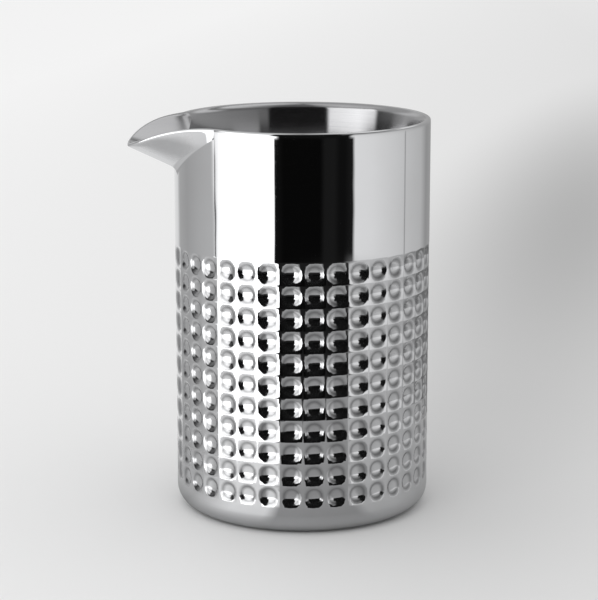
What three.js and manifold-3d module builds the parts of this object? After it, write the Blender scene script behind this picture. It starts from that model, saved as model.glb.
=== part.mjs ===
// Double-walled stainless steel mixing vessel for stirred drinks.
// A dimpled outer shell with a rolled rim and a plain inner liner that leans out to it stand one inside the
// other. A pouring spout is welded into a notch in both walls. A cap, a sealed port and a cover close the base.
// Millimetres, +Z up. The origin is the centre of the base, on the surface that the vessel stands on.
// The spout points along -X, and the XZ plane is the plane of symmetry.

import * as THREE from 'three';
import { mergeVertices } from 'three/addons/utils/BufferGeometryUtils.js';
import Module from 'manifold-3d';

const wasm = await Module();
wasm.setup();

// Body
const OUTER_RADIUS = 45;
const BODY_HEIGHT = 139;
const SHELL_SHEET = 0.8;
const LINER_SHEET = 0.8;
const BASE_CORNER_RADIUS = 7;
const LINER_CORNER_RADIUS = 10;

// Rim, and the liner's upper wall that leans out to it
const RIM_EDGE = 0.7; // radius of the tight fold at the outer edge
const RIM_ROLL = 3; // radius of the roll from the crest down into the mouth
const LINER_LEAN = THREE.MathUtils.degToRad(11);
const LEAN_DROP = 14; // foot of the leaning wall, below the rim
const LEAN_BEND = 20; // radius of the bend between the straight wall and the leaning one

// Dimple field
const ROW_PITCH = 7.76;
const COLUMN_PITCH = 7.85; // along the outer wall, rounded so that whole columns close the circle
const BASE_BAND = 3; // plain wall between the base corner and the lowest row
const RIM_BAND = 43; // least plain wall between the top row and the rim
const DIMPLE_DEPTH = 1;
const DIMPLE_MOUTH = 7.4; // across the mouth, on the diagonal of a cell
const DIMPLE_FLOOR = 4.6; // across the flat floor
const DIMPLE_BACKING = 0.4; // sheet left behind a dimple's floor

// Pouring spout
const SPOUT_HALF_ANGLE = THREE.MathUtils.degToRad(33.5);
const SPOUT_REACH = 17.2; // tip beyond the outer wall
const SPOUT_TIP_DROP = 7; // lip at the tip, below the rim
const SPOUT_ROOT_DROP = 16.5; // keel's root on the outer wall, below the rim
const CHANNEL_ROOT_DROP = 14; // channel's root on the leaning liner, below the rim
const CREASE_END_DROP = 3.5; // where the crease with the outer wall runs out, below the rim
const HOLLOW_KEEL = 4; // radius of the ground weld under the keel
const HOLLOW_SIDE = 0.8; // the same at the spout's two sides
const LIP_THICKNESS = 1.2; // at the tip
const TIP_SHARPNESS = 1.5; // 1 gives a pointed tip in plan, 2 a round one
const FLARE = 1.75; // how softly the lip leaves the rim

// Base
const FOOT_WIDTH = 5; // flat ring that the shell stands on
const CAP_SHEET = 0.8;
const CAP_LAND = 4; // flat edge of the cap round the cover's recess
const COVER_THICKNESS = 1.4;
const BASE_GAP = 4; // free height between the cap and the liner
const PORT_RADIUS = 2;
const SEAL_DOME = 0.6; // height of the seal's head inside the cap
const GETTER_RADIUS = 4;
const GETTER_HEIGHT = 1.5;
const GETTER_OFFSET = 14; // from the axis, on the cap's inner face

const SEAM = 0.3; // clearance at every joint between two sheets

// Facets
const LINER_SEGMENTS = 40;
const BASE_SEGMENTS = 36;
const SMALL_SEGMENTS = 24;
const SPOUT_STATIONS = 24;
const EDGE_STEPS = 2;
const ROLL_STEPS = 4;
const CURL_STEPS = 2;
const HOLLOW_STEPS = 3;
const BASE_CORNER_STEPS = 4;
const LINER_CORNER_STEPS = 3;
const BEND_STEPS = 2;

// Sizes that follow from the ones above
const rimCrest = [OUTER_RADIUS - RIM_EDGE, BODY_HEIGHT];
const rollCentre = [rimCrest[0], BODY_HEIGHT - RIM_ROLL];
const rollEnd = Math.PI - LINER_LEAN;
const mouthRadius = rollCentre[0] + RIM_ROLL * Math.cos(rollEnd);
const mouthHeight = rollCentre[1] + RIM_ROLL * Math.sin(rollEnd);
const leanFoot = BODY_HEIGHT - LEAN_DROP;
const innerRadius = linerRadius(leanFoot) - LEAN_BEND * (1 - Math.cos(LINER_LEAN));
const columns = Math.round((2 * Math.PI * OUTER_RADIUS) / COLUMN_PITCH);
const columnAngle = (2 * Math.PI) / columns;
const columnPitch = OUTER_RADIUS * columnAngle;
const fieldBottom = BASE_CORNER_RADIUS + BASE_BAND;
const rows = Math.floor((BODY_HEIGHT - RIM_BAND - fieldBottom) / ROW_PITCH);
const fieldTop = fieldBottom + rows * ROW_PITCH;
const footInnerRadius = OUTER_RADIUS - BASE_CORNER_RADIUS - FOOT_WIDTH;
const capTop = COVER_THICKNESS + CAP_SHEET;
const linerUnderside = capTop + BASE_GAP;
const linerFloor = linerUnderside + LINER_SHEET;

// A point in the half-plane at an angle from the spout, which grows anticlockwise seen from above.
function polar(radius, angle, height) {
  return new THREE.Vector3(-radius * Math.cos(angle), -radius * Math.sin(angle), height);
}

// The liner's inside at a height on its leaning wall.
function linerRadius(height) {
  return mouthRadius - (mouthHeight - height) * Math.tan(LINER_LEAN);
}

// Points of an arc in a half-plane, from one angle to another, as [radius, height].
function arc([radius, height], arcRadius, from, to, steps) {
  const points = [];
  for (let i = 0; i <= steps; i += 1) {
    const angle = from + ((to - from) * i) / steps;
    points.push([radius + arcRadius * Math.cos(angle), height + arcRadius * Math.sin(angle)]);
  }
  return points;
}

// The round of a lip: a tight edge outside, up to the crest, and a wider roll that goes down inside.
function lipRound([radius, height], rollRadius, from, to) {
  return [
    ...arc([radius, height - RIM_EDGE], RIM_EDGE, from, Math.PI / 2, EDGE_STEPS),
    ...arc([radius, height - rollRadius], rollRadius, Math.PI / 2, to, ROLL_STEPS).slice(1),
  ];
}

// Vertices and triangles of one surface, collected piece by piece.
class Surface {
  constructor() {
    this.positions = [];
    this.triangles = [];
  }

  point(vector) {
    this.positions.push(vector.x, vector.y, vector.z);
    return this.positions.length / 3 - 1;
  }

  face(...corners) {
    for (let i = 2; i < corners.length; i += 1) {
      this.triangles.push(corners[0], corners[i - 1], corners[i]);
    }
  }

  geometry() {
    const geometry = new THREE.BufferGeometry();
    geometry.setAttribute('position', new THREE.Float32BufferAttribute(this.positions, 3));
    geometry.setIndex(this.triangles);
    geometry.computeVertexNormals();
    return geometry;
  }
}

// A closed solid through sections of equal count, each anticlockwise in its half-plane.
// The first and last section are convex.
function loft(sections) {
  const surface = new Surface();
  const rings = sections.map((section) => section.map((vector) => surface.point(vector)));
  const count = rings[0].length;
  for (let i = 0; i + 1 < rings.length; i += 1) {
    for (let j = 0; j < count; j += 1) {
      const next = (j + 1) % count;
      surface.face(rings[i][j], rings[i + 1][j], rings[i + 1][next], rings[i][next]);
    }
  }
  surface.face(...rings[0]);
  surface.face(...rings[rings.length - 1].toReversed());
  return surface.geometry();
}

// A profile of [radius, height] points, anticlockwise, turned about the vertical axis.
function turned(profile, segments) {
  const points = profile.map(([radius, height]) => new THREE.Vector2(radius, height));
  return new THREE.LatheGeometry(points, segments).rotateX(Math.PI / 2);
}

function toSolid(geometry) {
  const bare = geometry.clone();
  bare.deleteAttribute('normal');
  bare.deleteAttribute('uv');
  const merged = mergeVertices(bare, 1e-4);
  const corners = merged.index.array;
  const triVerts = [];
  for (let i = 0; i < corners.length; i += 3) {
    const [a, b, c] = corners.slice(i, i + 3);
    if (a !== b && b !== c && c !== a) triVerts.push(a, b, c);
  }
  return new wasm.Manifold(new wasm.Mesh({
    numProp: 3,
    vertProperties: new Float32Array(merged.attributes.position.array),
    triVerts: new Uint32Array(triVerts),
  }));
}

function toGeometry(solid) {
  const mesh = solid.getMesh();
  const geometry = new THREE.BufferGeometry();
  geometry.setAttribute('position', new THREE.BufferAttribute(mesh.vertProperties, 3));
  geometry.setIndex(new THREE.BufferAttribute(mesh.triVerts, 1));
  geometry.computeVertexNormals();
  return geometry;
}

// Outer shell: rings of points follow the sheet's section from the foot up the outside, over the rolled rim
// and back down the inside, and the pressed rows take the place of one plain strip.
// Outside rings have a point at each cell border and each column centre, inside rings at the borders only.
function ring(surface, [radius, height], perColumn) {
  const indices = [];
  for (let i = 0; i < columns * perColumn; i += 1) {
    indices.push(surface.point(polar(radius, (i / perColumn - 0.5) * columnAngle, height)));
  }
  return indices;
}

function strip(surface, lower, upper) {
  const lowerPer = lower.length / columns;
  const upperPer = upper.length / columns;
  for (let column = 0; column < columns; column += 1) {
    const border = [];
    for (let i = 0; i <= lowerPer; i += 1) border.push(lower[(column * lowerPer + i) % lower.length]);
    for (let i = upperPer; i >= 0; i -= 1) border.push(upper[(column * upperPer + i) % upper.length]);
    surface.face(...border);
  }
}

// One cell, seen from outside: the mouth is an octagon that touches the cell's border at the middle of each
// side, the walls slope in to a flat square floor, and the four corners stay on the cylinder.
function dimple(surface, column, centreHeight, mids, corners) {
  const inCell = (across, up, depth) => {
    const angle = (column * columnPitch + across) / OUTER_RADIUS;
    return surface.point(polar(OUTER_RADIUS - depth, angle, centreHeight + up));
  };
  const turns = [[1, -1], [1, 1], [-1, 1], [-1, -1]];
  const mouth = (DIMPLE_MOUTH / 2) * Math.SQRT1_2;
  const floor = (DIMPLE_FLOOR / 2) * Math.SQRT1_2;
  const shoulders = turns.map(([across, up]) => inCell(across * mouth, up * mouth, 0));
  const floors = turns.map(([across, up]) => inCell(across * floor, up * floor, DIMPLE_DEPTH));
  for (let k = 0; k < turns.length; k += 1) {
    const nextMid = mids[(k + 1) % turns.length];
    surface.face(corners[k], nextMid, shoulders[k], mids[k]);
    surface.face(mids[k], shoulders[k], floors[k]);
    surface.face(shoulders[k], nextMid, floors[k]);
    surface.face(mids[k], floors[k], floors.at(k - 1));
  }
  surface.face(...floors);
}

function dimpleField(surface, bottomRing) {
  let lower = bottomRing;
  for (let row = 0; row < rows; row += 1) {
    const rowBottom = fieldBottom + row * ROW_PITCH;
    const centreHeight = rowBottom + ROW_PITCH / 2;
    const sides = ring(surface, [OUTER_RADIUS, centreHeight], 1);
    const upper = ring(surface, [OUTER_RADIUS, rowBottom + ROW_PITCH], 2);
    for (let column = 0; column < columns; column += 1) {
      const left = 2 * column;
      const right = (left + 2) % lower.length;
      const mids = [lower[left + 1], sides[(column + 1) % columns], upper[left + 1], sides[column]];
      const corners = [lower[right], upper[right], upper[left], lower[left]];
      dimple(surface, column, centreHeight, mids, corners);
    }
    lower = upper;
  }
  return lower;
}

function shellGeometry() {
  const surface = new Surface();
  const cornerCentre = [OUTER_RADIUS - BASE_CORNER_RADIUS, BASE_CORNER_RADIUS];
  const cornerInside = BASE_CORNER_RADIUS - SHELL_SHEET;
  const curlRadius = RIM_ROLL - SHELL_SHEET;
  const sheetInside = OUTER_RADIUS - SHELL_SHEET;
  const curlFoot = Math.acos((sheetInside - rollCentre[0]) / curlRadius);
  const fieldInside = OUTER_RADIUS - DIMPLE_DEPTH - DIMPLE_BACKING;
  const step = sheetInside - fieldInside;
  const outsideLow = [
    [footInnerRadius, 0],
    ...arc(cornerCentre, BASE_CORNER_RADIUS, -Math.PI / 2, 0, BASE_CORNER_STEPS),
    [OUTER_RADIUS, fieldBottom],
  ];
  const outsideHigh = lipRound(rimCrest, RIM_ROLL, 0, rollEnd);
  const inside = [
    ...arc(rollCentre, curlRadius, rollEnd, curlFoot, CURL_STEPS),
    [sheetInside, fieldTop + Math.abs(step)],
    [fieldInside, fieldTop],
    [fieldInside, fieldBottom],
    ...arc(cornerCentre, cornerInside, 0, -Math.PI / 2, BASE_CORNER_STEPS),
    [footInnerRadius, SHELL_SHEET],
  ];
  const first = ring(surface, outsideLow[0], 2);
  let last = first;
  const follow = (points, perColumn) => {
    for (const point of points) {
      const next = ring(surface, point, perColumn);
      strip(surface, last, next);
      last = next;
    }
  };
  follow(outsideLow.slice(1), 2);
  last = dimpleField(surface, last);
  follow(outsideHigh, 2);
  follow(inside, 1);
  strip(surface, last, first);
  return surface.geometry();
}

// Inner liner: a plain deep-drawn cup. Its upper wall leans out, and its edge stops square to the end of the
// rolled rim.
function linerGeometry() {
  const cornerCentre = [innerRadius - LINER_CORNER_RADIUS, linerFloor + LINER_CORNER_RADIUS];
  const cornerOutside = LINER_CORNER_RADIUS + LINER_SHEET;
  const bendCentre = [innerRadius + LEAN_BEND, leanFoot - LEAN_BEND * Math.sin(LINER_LEAN)];
  const edge = (depth) => {
    const [radius, height] = arc(rollCentre, RIM_ROLL - depth, rollEnd, rollEnd, 1)[0];
    return [radius - SEAM * Math.sin(LINER_LEAN), height - SEAM * Math.cos(LINER_LEAN)];
  };
  const profile = [
    [0, linerUnderside],
    ...arc(cornerCentre, cornerOutside, -Math.PI / 2, 0, LINER_CORNER_STEPS),
    ...arc(bendCentre, LEAN_BEND - LINER_SHEET, Math.PI, rollEnd, BEND_STEPS),
    edge(LINER_SHEET),
    edge(0),
    ...arc(bendCentre, LEAN_BEND, rollEnd, Math.PI, BEND_STEPS),
    ...arc(cornerCentre, LINER_CORNER_RADIUS, 0, -Math.PI / 2, LINER_CORNER_STEPS),
    [0, linerFloor],
  ];
  return turned(profile, LINER_SEGMENTS);
}

// The spout's section at a share of its half-angle, from -1 to 1, as [radius, height] points.
// The lip swells out and drops towards the tip. Its walls run straight to the lip, from the liner inside and
// from a hollow round on the shell outside.
function spoutPlaces(share) {
  const side = Math.abs(share);
  const out = (1 - side ** TIP_SHARPNESS) ** FLARE;
  const rise = (middleDrop, sideDrop) => BODY_HEIGHT - THREE.MathUtils.lerp(middleDrop, sideDrop, side);
  const crest = [rimCrest[0] + SPOUT_REACH * out, BODY_HEIGHT - SPOUT_TIP_DROP * out ** 2];
  const roll = THREE.MathUtils.lerp(RIM_ROLL, LIP_THICKNESS - RIM_EDGE, out);
  const crease = [OUTER_RADIUS, rise(SPOUT_ROOT_DROP, CREASE_END_DROP)];
  const innerHeight = rise(CHANNEL_ROOT_DROP, BODY_HEIGHT - mouthHeight);
  const innerRoot = [linerRadius(innerHeight), innerHeight];
  const from = tangentNormal(crease, [crest[0], crest[1] - RIM_EDGE], RIM_EDGE, -1);
  const to = tangentNormal(innerRoot, [crest[0], crest[1] - roll], roll, 1);
  const hollow = HOLLOW_SIDE + (HOLLOW_KEEL - HOLLOW_SIDE) * (1 - side) ** 2;
  const outerRoot = [OUTER_RADIUS, crease[1] + hollow * Math.tan(from / 2)];
  return { innerRoot, outerRoot, hollow, crest, roll, from, to };
}

// Direction of the normal where a line from a root touches the round lip, on the side that is asked for.
function tangentNormal(root, centre, radius, side) {
  const across = centre[0] - root[0];
  const up = centre[1] - root[1];
  const spread = Math.asin(Math.min(1, radius / Math.hypot(across, up)));
  return Math.atan2(up, across) + side * (spread + Math.PI / 2);
}

function spoutSection(share) {
  const { innerRoot, outerRoot, hollow, crest, roll, from, to } = spoutPlaces(share);
  const hollowCentre = [outerRoot[0] + hollow, outerRoot[1]];
  return [
    innerRoot,
    ...arc(hollowCentre, hollow, Math.PI, Math.PI + from, HOLLOW_STEPS),
    ...lipRound(crest, roll, from, to),
  ];
}

function spoutShares() {
  return Array.from({ length: SPOUT_STATIONS + 1 }, (_, i) => (2 * i) / SPOUT_STATIONS - 1);
}

function spoutGeometry() {
  return loft(spoutShares().map((share) => {
    const angle = share * SPOUT_HALF_ANGLE;
    return spoutSection(share).map(([radius, height]) => polar(radius, angle, height));
  }));
}

// What the spout's notch takes out of both walls: all that lies above its seat, with the seam's clearance.
function notchGeometry() {
  const seat = (share, angle) => {
    const { outerRoot, innerRoot } = spoutPlaces(share);
    const slope = (outerRoot[1] - innerRoot[1]) / (outerRoot[0] - innerRoot[0]);
    const bottom = (radius) => outerRoot[1] - SEAM + slope * (radius - outerRoot[0]);
    const near = innerRadius - RIM_ROLL;
    const far = OUTER_RADIUS + RIM_ROLL;
    const top = BODY_HEIGHT + RIM_ROLL;
    const points = [[near, bottom(near)], [far, bottom(far)], [far, top], [near, top]];
    return points.map(([radius, height]) => polar(radius, angle, height));
  };
  const ease = SEAM / innerRadius;
  const inner = spoutShares().map((share) => seat(share, share * SPOUT_HALF_ANGLE));
  return loft([
    seat(-1, -SPOUT_HALF_ANGLE - ease),
    ...inner,
    seat(1, SPOUT_HALF_ANGLE + ease),
  ]);
}

// Base cap: a shallow pan with its land inside the foot, a recess for the cover and a port in the middle.
function capGeometry() {
  const edge = footInnerRadius - SEAM;
  const recess = edge - CAP_LAND;
  const profile = [
    [PORT_RADIUS, COVER_THICKNESS],
    [recess, COVER_THICKNESS],
    [recess, 0],
    [edge, 0],
    [edge, CAP_SHEET],
    [recess + CAP_SHEET, CAP_SHEET],
    [recess + CAP_SHEET, capTop],
    [PORT_RADIUS, capTop],
    [PORT_RADIUS, COVER_THICKNESS],
  ];
  return turned(profile, BASE_SEGMENTS);
}

// Port seal: a bead that fills the port and stands a little proud inside.
function sealGeometry() {
  const radius = PORT_RADIUS - SEAM;
  const profile = [
    [0, COVER_THICKNESS],
    [radius, COVER_THICKNESS],
    [radius, capTop],
    [radius / 2, capTop + SEAL_DOME],
    [0, capTop + SEAL_DOME],
  ];
  return turned(profile, SMALL_SEGMENTS);
}

// Base cover: the flat disc that hides the port, flush with the foot and its edge eased.
function coverGeometry() {
  const radius = footInnerRadius - CAP_LAND - 2 * SEAM;
  const profile = [
    [0, 0],
    [radius - SEAM, 0],
    [radius, SEAM],
    [radius, COVER_THICKNESS],
    [0, COVER_THICKNESS],
  ];
  return turned(profile, BASE_SEGMENTS);
}

// Getter: a pressed pill on the cap that takes up stray gas between the walls.
function getterGeometry() {
  const profile = [
    [0, 0],
    [GETTER_RADIUS, 0],
    [GETTER_RADIUS, GETTER_HEIGHT - SEAM],
    [GETTER_RADIUS - SEAM, GETTER_HEIGHT],
    [0, GETTER_HEIGHT],
  ];
  return turned(profile, SMALL_SEGMENTS);
}

function steel(color, roughness) {
  return new THREE.MeshStandardMaterial({ color, metalness: 1, roughness });
}

const polishedSteel = steel(0xd9dbdc, 0.05);
const satinSteel = steel(0xb4b5b6, 0.32);
const plainSteel = steel(0xa9abad, 0.42);
const sealGlass = new THREE.MeshStandardMaterial({ color: 0x5d6268, metalness: 0, roughness: 0.25 });
const getterMetal = steel(0x7c7d80, 0.6);

function piece(name, geometry, material) {
  const mesh = new THREE.Mesh(geometry, material);
  mesh.name = name;
  return mesh;
}

const notch = toSolid(notchGeometry());
const notched = (geometry) => toGeometry(toSolid(geometry).subtract(notch));

const getter = piece('getter', getterGeometry(), getterMetal);
getter.position.set(GETTER_OFFSET, 0, capTop);

const walls = new THREE.Group();
walls.add(
  piece('outer_shell', notched(shellGeometry()), polishedSteel),
  piece('inner_liner', notched(linerGeometry()), satinSteel),
  piece('pouring_spout', spoutGeometry(), polishedSteel),
);

const base = new THREE.Group();
base.add(
  piece('base_cap', capGeometry(), plainSteel),
  piece('port_seal', sealGeometry(), sealGlass),
  piece('base_cover', coverGeometry(), plainSteel),
  getter,
);

const vessel = new THREE.Group();
vessel.add(walls, base);

export default vessel;
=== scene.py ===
# %% [markdown]
# # A mixing vessel of polished steel
# The real object is a double-walled steel vessel for stirring drinks: a mirror-polished shell with eleven
# rows of pressed dimples, a satin cup inside it, a thick rolled rim and a pointed spout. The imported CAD
# model fixes every place and size. This script loads it, puts finer skins over its visible pieces and
# gives each metal its finish.

# %% Load the frame
import random
from math import asin, atan2, copysign, cos, degrees, hypot, pi, radians, sin, tan

import bmesh
import bpy
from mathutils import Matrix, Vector


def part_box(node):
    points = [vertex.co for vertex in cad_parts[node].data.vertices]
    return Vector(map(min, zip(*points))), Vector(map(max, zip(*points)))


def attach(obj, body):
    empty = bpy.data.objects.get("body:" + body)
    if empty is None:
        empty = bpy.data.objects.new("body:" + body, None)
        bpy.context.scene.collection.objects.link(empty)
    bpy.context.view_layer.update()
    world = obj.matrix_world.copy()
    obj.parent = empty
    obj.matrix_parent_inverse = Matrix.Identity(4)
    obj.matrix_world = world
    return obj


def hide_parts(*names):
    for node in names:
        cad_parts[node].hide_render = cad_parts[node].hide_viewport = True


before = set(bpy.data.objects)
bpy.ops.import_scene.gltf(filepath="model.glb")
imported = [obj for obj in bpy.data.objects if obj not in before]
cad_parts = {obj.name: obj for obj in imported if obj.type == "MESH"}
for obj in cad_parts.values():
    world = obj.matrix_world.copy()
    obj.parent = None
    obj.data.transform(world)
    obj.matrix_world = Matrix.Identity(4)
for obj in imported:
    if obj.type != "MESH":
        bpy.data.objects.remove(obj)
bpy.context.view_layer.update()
print("CAD nodes:", ", ".join(sorted(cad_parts)))

# %% [markdown]
# ## Sizes
# The skins have to lie where the solids are, so the main sizes are read from the boxes of the solids. The
# sheet and the smaller forms repeat the part's own values.

# %% Measure the solids
MM = 0.001
SHEET = 0.8 * MM
_, shell_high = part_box("outer_shell")
liner_low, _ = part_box("inner_liner")
spout_low, spout_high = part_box("pouring_spout")
cover_low, cover_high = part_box("base_cover")

WALL = shell_high.y
HEIGHT = shell_high.z
EDGE = 0.7 * MM
ROLL = 3 * MM
CUP_LEAN = radians(11)
CUP_LEAN_END = HEIGHT - 14 * MM
CUP_BEND = 20 * MM
CUP_BULGE = 0.3 * MM
CUP_TOP = HEIGHT - ROLL * (1 - sin(CUP_LEAN))
CUP_LEAN_HEIGHT = CUP_TOP - CUP_LEAN_END
MOUTH = WALL - EDGE - ROLL * cos(CUP_LEAN)
CUP_WALL = MOUTH - CUP_LEAN_HEIGHT * tan(CUP_LEAN) - CUP_BEND * (1 - cos(CUP_LEAN))
ROWS = 11
ROW_PITCH = 7.76 * MM
FIELD_BOTTOM = 10 * MM
FIELD_TOP = FIELD_BOTTOM + ROWS * ROW_PITCH
FIELD_MIDDLE = (FIELD_BOTTOM + FIELD_TOP) / 2
DIMPLE_DEPTH = 1.0 * MM
SPOUT_HALF = asin(spout_high.y / WALL)
SPOUT_REACH = -spout_low.x - WALL
print(f"wall {WALL / MM:.1f} mm, mouth {MOUTH / MM:.1f} mm, height {HEIGHT / MM:.1f} mm")
print(f"spout half angle {degrees(SPOUT_HALF):.1f} degrees, reach {SPOUT_REACH / MM:.1f} mm")

# %% [markdown]
# ## The camera
# A long lens from slightly above, as in the photograph. Its place was worked out from the ellipses of the
# rim and the base, so it is set by numbers and not by eye. The spout points to the camera's left.

# %% Set the camera
CAMERA_AZIMUTH = radians(-15.3)
CAMERA_DISTANCE = 746.9 * MM
CAMERA_HEIGHT = 233.5 * MM
CAMERA_PITCH = radians(12.10)
CAMERA_YAW = radians(0.086)
LENS_MM = 128.58

lens = bpy.data.cameras.new("camera")
lens.lens = LENS_MM
camera = bpy.data.objects.new("camera", lens)
camera.location = (
    CAMERA_DISTANCE * sin(CAMERA_AZIMUTH),
    -CAMERA_DISTANCE * cos(CAMERA_AZIMUTH),
    CAMERA_HEIGHT,
)
camera.rotation_euler = (pi / 2 - CAMERA_PITCH, 0, CAMERA_AZIMUTH + CAMERA_YAW)
bpy.context.scene.collection.objects.link(camera)
bpy.context.scene.camera = camera
print("camera at", [round(value, 3) for value in camera.location])

# %% [markdown]
# ## Helpers for materials
# Colours are written as the hex values that a colour picker shows, and the shaders want linear values, so
# one function turns one into the other. A second one adds any node with its settings and links. Some
# nodes have several inputs of one name, so these are counted instead: Map Range reads the range on inputs
# 1 and 2 and gives the range on 3 and 4, and Mix has its share on input 0 and its two colours on 6 and 7.

# %% Colours and nodes


def linear(code):
    """Turns an sRGB hex colour into the linear red, green, blue and alpha that a shader reads."""
    parts = [int(code[start:start + 2], 16) / 255 for start in (1, 3, 5)]
    return [part / 12.92 if part <= 0.04045 else ((part + 0.055) / 1.055) ** 2.4 for part in parts] + [1.0]


def add(tree, kind, settings, links=None):
    """Adds one node: settings are its properties and input values, links are outputs for its inputs."""
    node = tree.nodes.new("ShaderNode" + kind)
    for key, value in settings.items():
        if isinstance(key, str) and hasattr(node, key):
            setattr(node, key, value)
        else:
            node.inputs[key].default_value = value
    for key, source in (links or {}).items():
        tree.links.new(source, node.inputs[key])
    return node


def per_mm(size):
    """The scale at which a pattern on Object coordinates repeats about once in this many millimetres."""
    return 1 / (size * MM)


def new_finish(name, settings):
    """Starts a finish: the material, its tree, its shader, a metal unless told otherwise, and its place."""
    finish = bpy.data.materials.new(name)
    finish.use_nodes = True
    tree = finish.node_tree
    tree.nodes.clear()
    shader = add(tree, "BsdfPrincipled", {"Metallic": 1.0, **settings})
    add(tree, "OutputMaterial", {}, {"Surface": shader.outputs[0]})
    place = add(tree, "TexCoord", {}).outputs["Object"]
    return finish, tree, shader, place


print("white in linear light:", linear("#FFFFFF"))

# %% [markdown]
# ## Mirror-polished stainless steel
# The shell, rim and spout are buffed on felt wheels to a mirror. That gives the eye clean reflections,
# with a faint haze where the wheel has passed, very slight waves from the pressing and the colour of
# steel, a little warmer and darker than chrome. The wheel's lines are far too fine to show, so they are
# drawn 0.5 mm apart.

# %% Polished steel
CLOUD_MM = 22
BUFFING_MM = 0.5
BUFFING_STRETCH = (0.04, 0.04, 1.0)
HAZE_LOW = 0.1
HAZE_HIGH = 0.45
POLISH_CLEAR = 0.02
POLISH_HAZY = 0.05
WAVE_MM = 18
WAVE_DEPTH = 0.12 * MM
WAVE_STRENGTH = 0.6

polished_steel, tree, shader, place = new_finish("mirror_polished_stainless_steel", {})
clouds = add(tree, "TexNoise", {"Scale": per_mm(CLOUD_MM), "Detail": 3.0}, {"Vector": place})
tint = add(
    tree, "Mix",
    {"data_type": "RGBA", 6: linear("#E2E3E5"), 7: linear("#D8D8D9")},
    {0: clouds.outputs[0]},
)
stretched = add(tree, "Mapping", {"Scale": BUFFING_STRETCH}, {"Vector": place})
lines = add(
    tree, "TexNoise",
    {"Scale": per_mm(BUFFING_MM), "Detail": 2.0},
    {"Vector": stretched.outputs[0]},
)
haze = add(tree, "Math", {"operation": "MULTIPLY"}, {0: clouds.outputs[0], 1: lines.outputs[0]})
rough = add(
    tree, "MapRange",
    {1: HAZE_LOW, 2: HAZE_HIGH, 3: POLISH_CLEAR, 4: POLISH_HAZY},
    {0: haze.outputs[0]},
)
waves = add(tree, "TexNoise", {"Scale": per_mm(WAVE_MM), "Detail": 1.0}, {"Vector": place})
relief = add(tree, "Bump", {"Strength": WAVE_STRENGTH, "Distance": WAVE_DEPTH}, {"Height": waves.outputs[0]})
tree.links.new(relief.outputs[0], shader.inputs["Normal"])
print("made", polished_steel.name)

# %% [markdown]
# The press stretches the sheet on the wall of each dimple, and the felt wheel bridges it, so the wall is
# hazier than the floor, which the smooth end of the press tool leaves bright. The wall's colour is also
# greyed, a painted shade that makes its reflections darker. The distance from the axis tells how deep a
# place is sunk: a wall is halfway down, a floor is all the way down.

# %% Stretched walls of the dimples, with painted shade
STRETCHED_HAZE = 0.24
DIMPLE_WALL_PAINTED_SHADE = 0.5
LAND_SLACK = 0.05 * MM
HALFWAY = 0.5

flat_place = add(tree, "VectorMath", {"operation": "MULTIPLY", 1: (1.0, 1.0, 0.0)}, {0: place})
radius = add(tree, "VectorMath", {"operation": "LENGTH"}, {0: flat_place.outputs[0]})
sunk = add(tree, "MapRange", {1: WALL - LAND_SLACK, 2: WALL - DIMPLE_DEPTH}, {0: radius.outputs[1]})
height = add(tree, "SeparateXYZ", {}, {0: place}).outputs["Z"]
under_top = add(tree, "Math", {"operation": "LESS_THAN", 1: FIELD_TOP}, {0: height})
over_bottom = add(tree, "Math", {"operation": "GREATER_THAN", 1: FIELD_BOTTOM}, {0: height})
in_field = add(tree, "Math", {"operation": "MULTIPLY"}, {0: under_top.outputs[0], 1: over_bottom.outputs[0]})
pressed = add(tree, "Math", {"operation": "MULTIPLY"}, {0: sunk.outputs[0], 1: in_field.outputs[0]})
on_wall = add(tree, "Math", {"operation": "PINGPONG", 1: HALFWAY}, {0: pressed.outputs[0]})
hazier = add(
    tree, "Math",
    {"operation": "MULTIPLY_ADD", 1: STRETCHED_HAZE},
    {0: on_wall.outputs[0], 2: rough.outputs[0]},
)
# Painted shade: the walls of the dimples get a greyer colour, which darkens what they reflect.
painted_wall_shade = add(tree, "MapRange", {2: HALFWAY, 3: 1.0, 4: DIMPLE_WALL_PAINTED_SHADE}, {0: on_wall.outputs[0]})
wall_tint_with_painted_shade = add(
    tree, "Mix",
    {"data_type": "RGBA", "blend_type": "MULTIPLY", 0: 1.0},
    {6: tint.outputs[2], 7: painted_wall_shade.outputs[0]},
)
tree.links.new(hazier.outputs[0], shader.inputs["Roughness"])
tree.links.new(wall_tint_with_painted_shade.outputs[2], shader.inputs["Base Color"])
print(f"the walls of the dimples have a haze of {STRETCHED_HAZE} and a grey of {DIMPLE_WALL_PAINTED_SHADE}")

# %% [markdown]
# ## Satin stainless steel
# The cup inside is brushed round its axis while it spins. Fine grooves that run round it leave
# reflections sharp from side to side and smear them up and down, so the shader is anisotropic, with its
# tangent round the axis. The grooves are about 0.05 mm apart and are drawn at 0.4 mm.

# %% Satin steel
GROOVE_MM = 0.4
GROOVE_STRETCH = (0.02, 0.02, 1.0)
GROOVE_DEPTH = 0.01 * MM
GROOVE_STRENGTH = 0.03
PATCH_MM = 30
SATIN_CLEAR = 0.1
SATIN_HAZY = 0.15

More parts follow.
